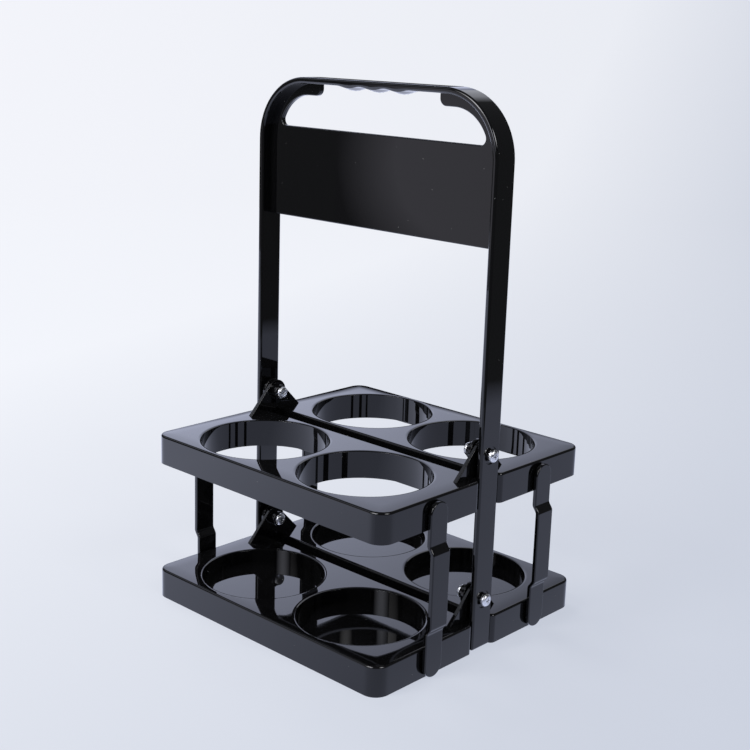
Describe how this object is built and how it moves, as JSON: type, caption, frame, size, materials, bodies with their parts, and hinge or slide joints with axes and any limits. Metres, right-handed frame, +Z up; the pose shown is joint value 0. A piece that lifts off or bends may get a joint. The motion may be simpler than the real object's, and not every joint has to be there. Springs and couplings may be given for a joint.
{
  "type": "folding drink carrier",
  "caption": "Folding bottle carrier in gloss black plastic: a tall handle frame with a finger grip, hinged ring trays above, cup trays below, and links that fold them together.",
  "frame": {"origin": "on the ground under the middle of the carrier, in the handle frame's middle plane", "axes": "+X along the handle's width to the carrier's right, -Y to the front, +Z up"},
  "size_m": [0.2242, 0.1992, 0.3548],
  "materials": {
    "black_plastic": "moulded gloss",
    "screw_metal": "bright plated"
  },
  "bodies": {
    "frame": {"handle_frame": "black_plastic", "pivot_post_lower_left": "screw_metal", "pivot_screw_lower_left": "screw_metal", "pivot_post_lower_right": "screw_metal", "pivot_screw_lower_right": "screw_metal", "pivot_post_upper_left": "screw_metal", "pivot_screw_upper_left": "screw_metal", "pivot_post_upper_right": "screw_metal", "pivot_screw_upper_right": "screw_metal"},
    "lower_tray_front": {"lower_tray_front": "black_plastic"},
    "lower_tray_rear": {"lower_tray_rear": "black_plastic"},
    "upper_tray_front": {"upper_tray_front": "black_plastic"},
    "upper_tray_rear": {"upper_tray_rear": "black_plastic"},
    "link_front_left": {"link_front_left": "black_plastic"},
    "link_front_right": {"link_front_right": "black_plastic"},
    "link_rear_left": {"link_rear_left": "black_plastic"},
    "link_rear_right": {"link_rear_right": "black_plastic"}
  },
  "joints": [
    {"name": "front_fold", "type": "hinge", "parent": "frame", "child": "upper_tray_front", "pos_m": [0, 0, 0.1309], "axis": [-1, 0, 0], "range_deg": [0, 90]},
    {"name": "front_lower_fold", "type": "hinge", "parent": "frame", "child": "lower_tray_front", "pos_m": [0, 0, 0.0342], "axis": [-1, 0, 0], "range_deg": [0, 90]},
    {"name": "front_left_link_pivot", "type": "hinge", "parent": "upper_tray_front", "child": "link_front_left", "pos_m": [-0.1052, -0.05245, 0.10675], "axis": [-1, 0, 0], "range_deg": [-90, 0]},
    {"name": "front_right_link_pivot", "type": "hinge", "parent": "upper_tray_front", "child": "link_front_right", "pos_m": [0.1052, -0.05245, 0.10675], "axis": [-1, 0, 0], "range_deg": [-90, 0]},
    {"name": "rear_fold", "type": "hinge", "parent": "frame", "child": "upper_tray_rear", "pos_m": [0, 0, 0.1309], "axis": [1, 0, 0], "range_deg": [0, 90]},
    {"name": "rear_lower_fold", "type": "hinge", "parent": "frame", "child": "lower_tray_rear", "pos_m": [0, 0, 0.0342], "axis": [1, 0, 0], "range_deg": [0, 90]},
    {"name": "rear_left_link_pivot", "type": "hinge", "parent": "upper_tray_rear", "child": "link_rear_left", "pos_m": [-0.1052, 0.05245, 0.10675], "axis": [1, 0, 0], "range_deg": [-90, 0]},
    {"name": "rear_right_link_pivot", "type": "hinge", "parent": "upper_tray_rear", "child": "link_rear_right", "pos_m": [0.1052, 0.05245, 0.10675], "axis": [1, 0, 0], "range_deg": [-90, 0]}
  ],
  "couplings": [
    {"joint": "front_lower_fold", "follows": "front_fold", "ratio": 1},
    {"joint": "front_left_link_pivot", "follows": "front_fold", "ratio": -1},
    {"joint": "front_right_link_pivot", "follows": "front_fold", "ratio": -1},
    {"joint": "rear_lower_fold", "follows": "rear_fold", "ratio": 1},
    {"joint": "rear_left_link_pivot", "follows": "rear_fold", "ratio": -1},
    {"joint": "rear_right_link_pivot", "follows": "rear_fold", "ratio": -1}
  ]
}
